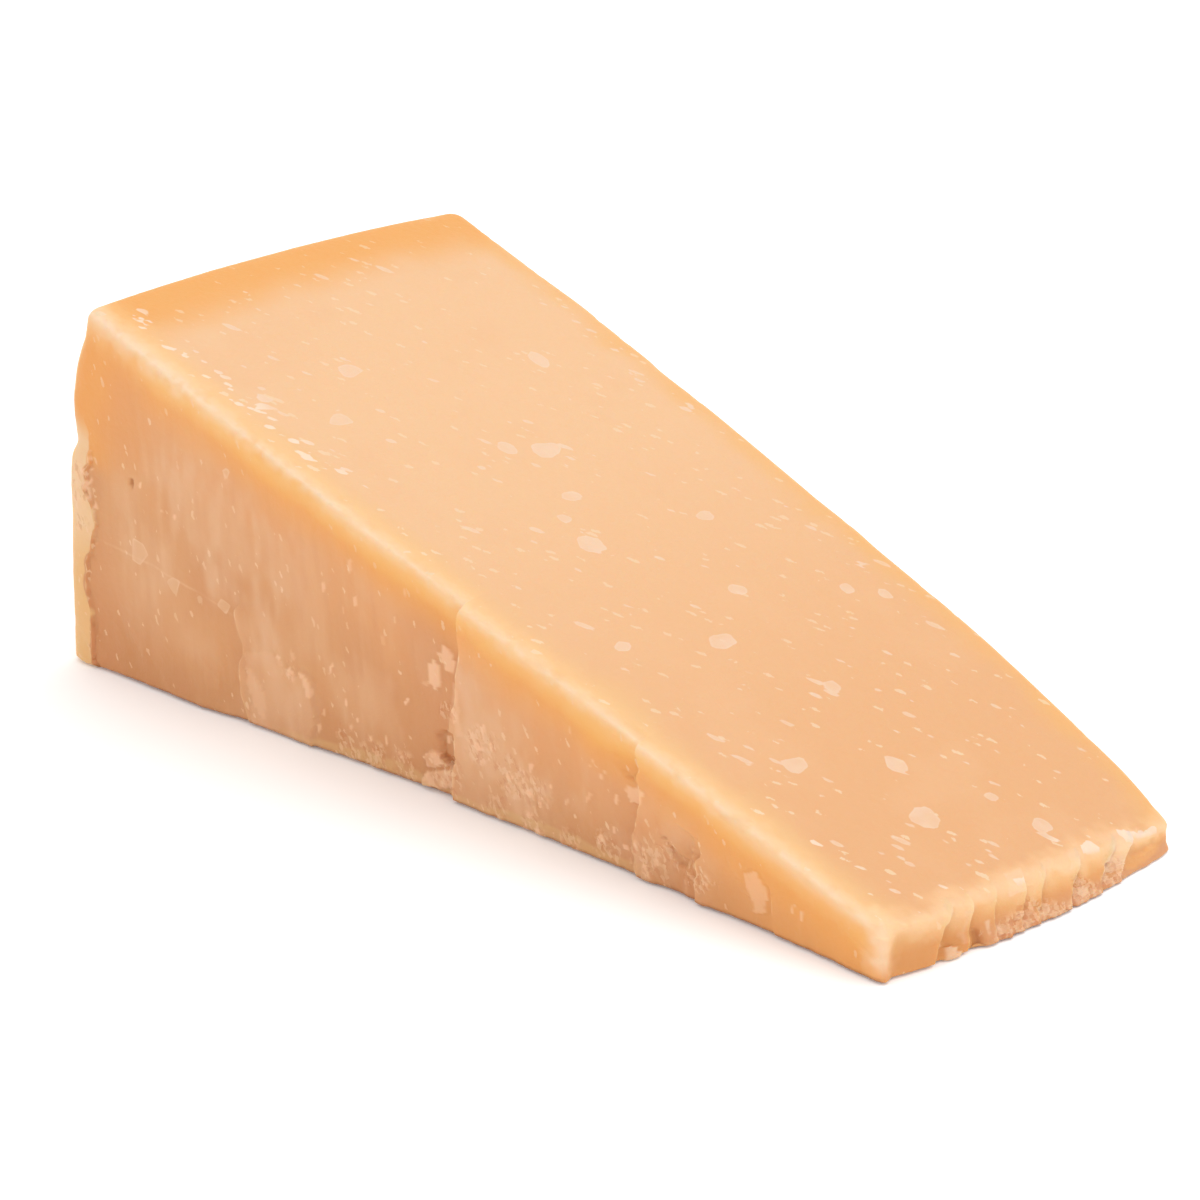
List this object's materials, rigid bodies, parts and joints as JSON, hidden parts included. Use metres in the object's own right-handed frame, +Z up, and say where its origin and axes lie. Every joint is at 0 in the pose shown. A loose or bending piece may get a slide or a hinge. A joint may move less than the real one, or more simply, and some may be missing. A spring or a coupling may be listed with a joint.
{
  "type": "hard grating cheese chunk",
  "caption": "Wedge of hard grating cheese lying on a cut face, thick rind end sloping to a thin broken tip, with stepped broken sides.",
  "frame": {"origin": "centre of the chunk's box, on the floor that it lies on", "axes": "+X from the rind to the thin tip, +Y from the near side to the far side, +Z up"},
  "size_m": [0.192, 0.0922, 0.0682],
  "materials": {
    "cheese": "waxy, faintly see-through hard cheese, peach on the top cut, tan on the broken sides, with pale crystals"
  },
  "bodies": {
    "root": {"cheese_chunk": "cheese"}
  },
  "joints": []
}
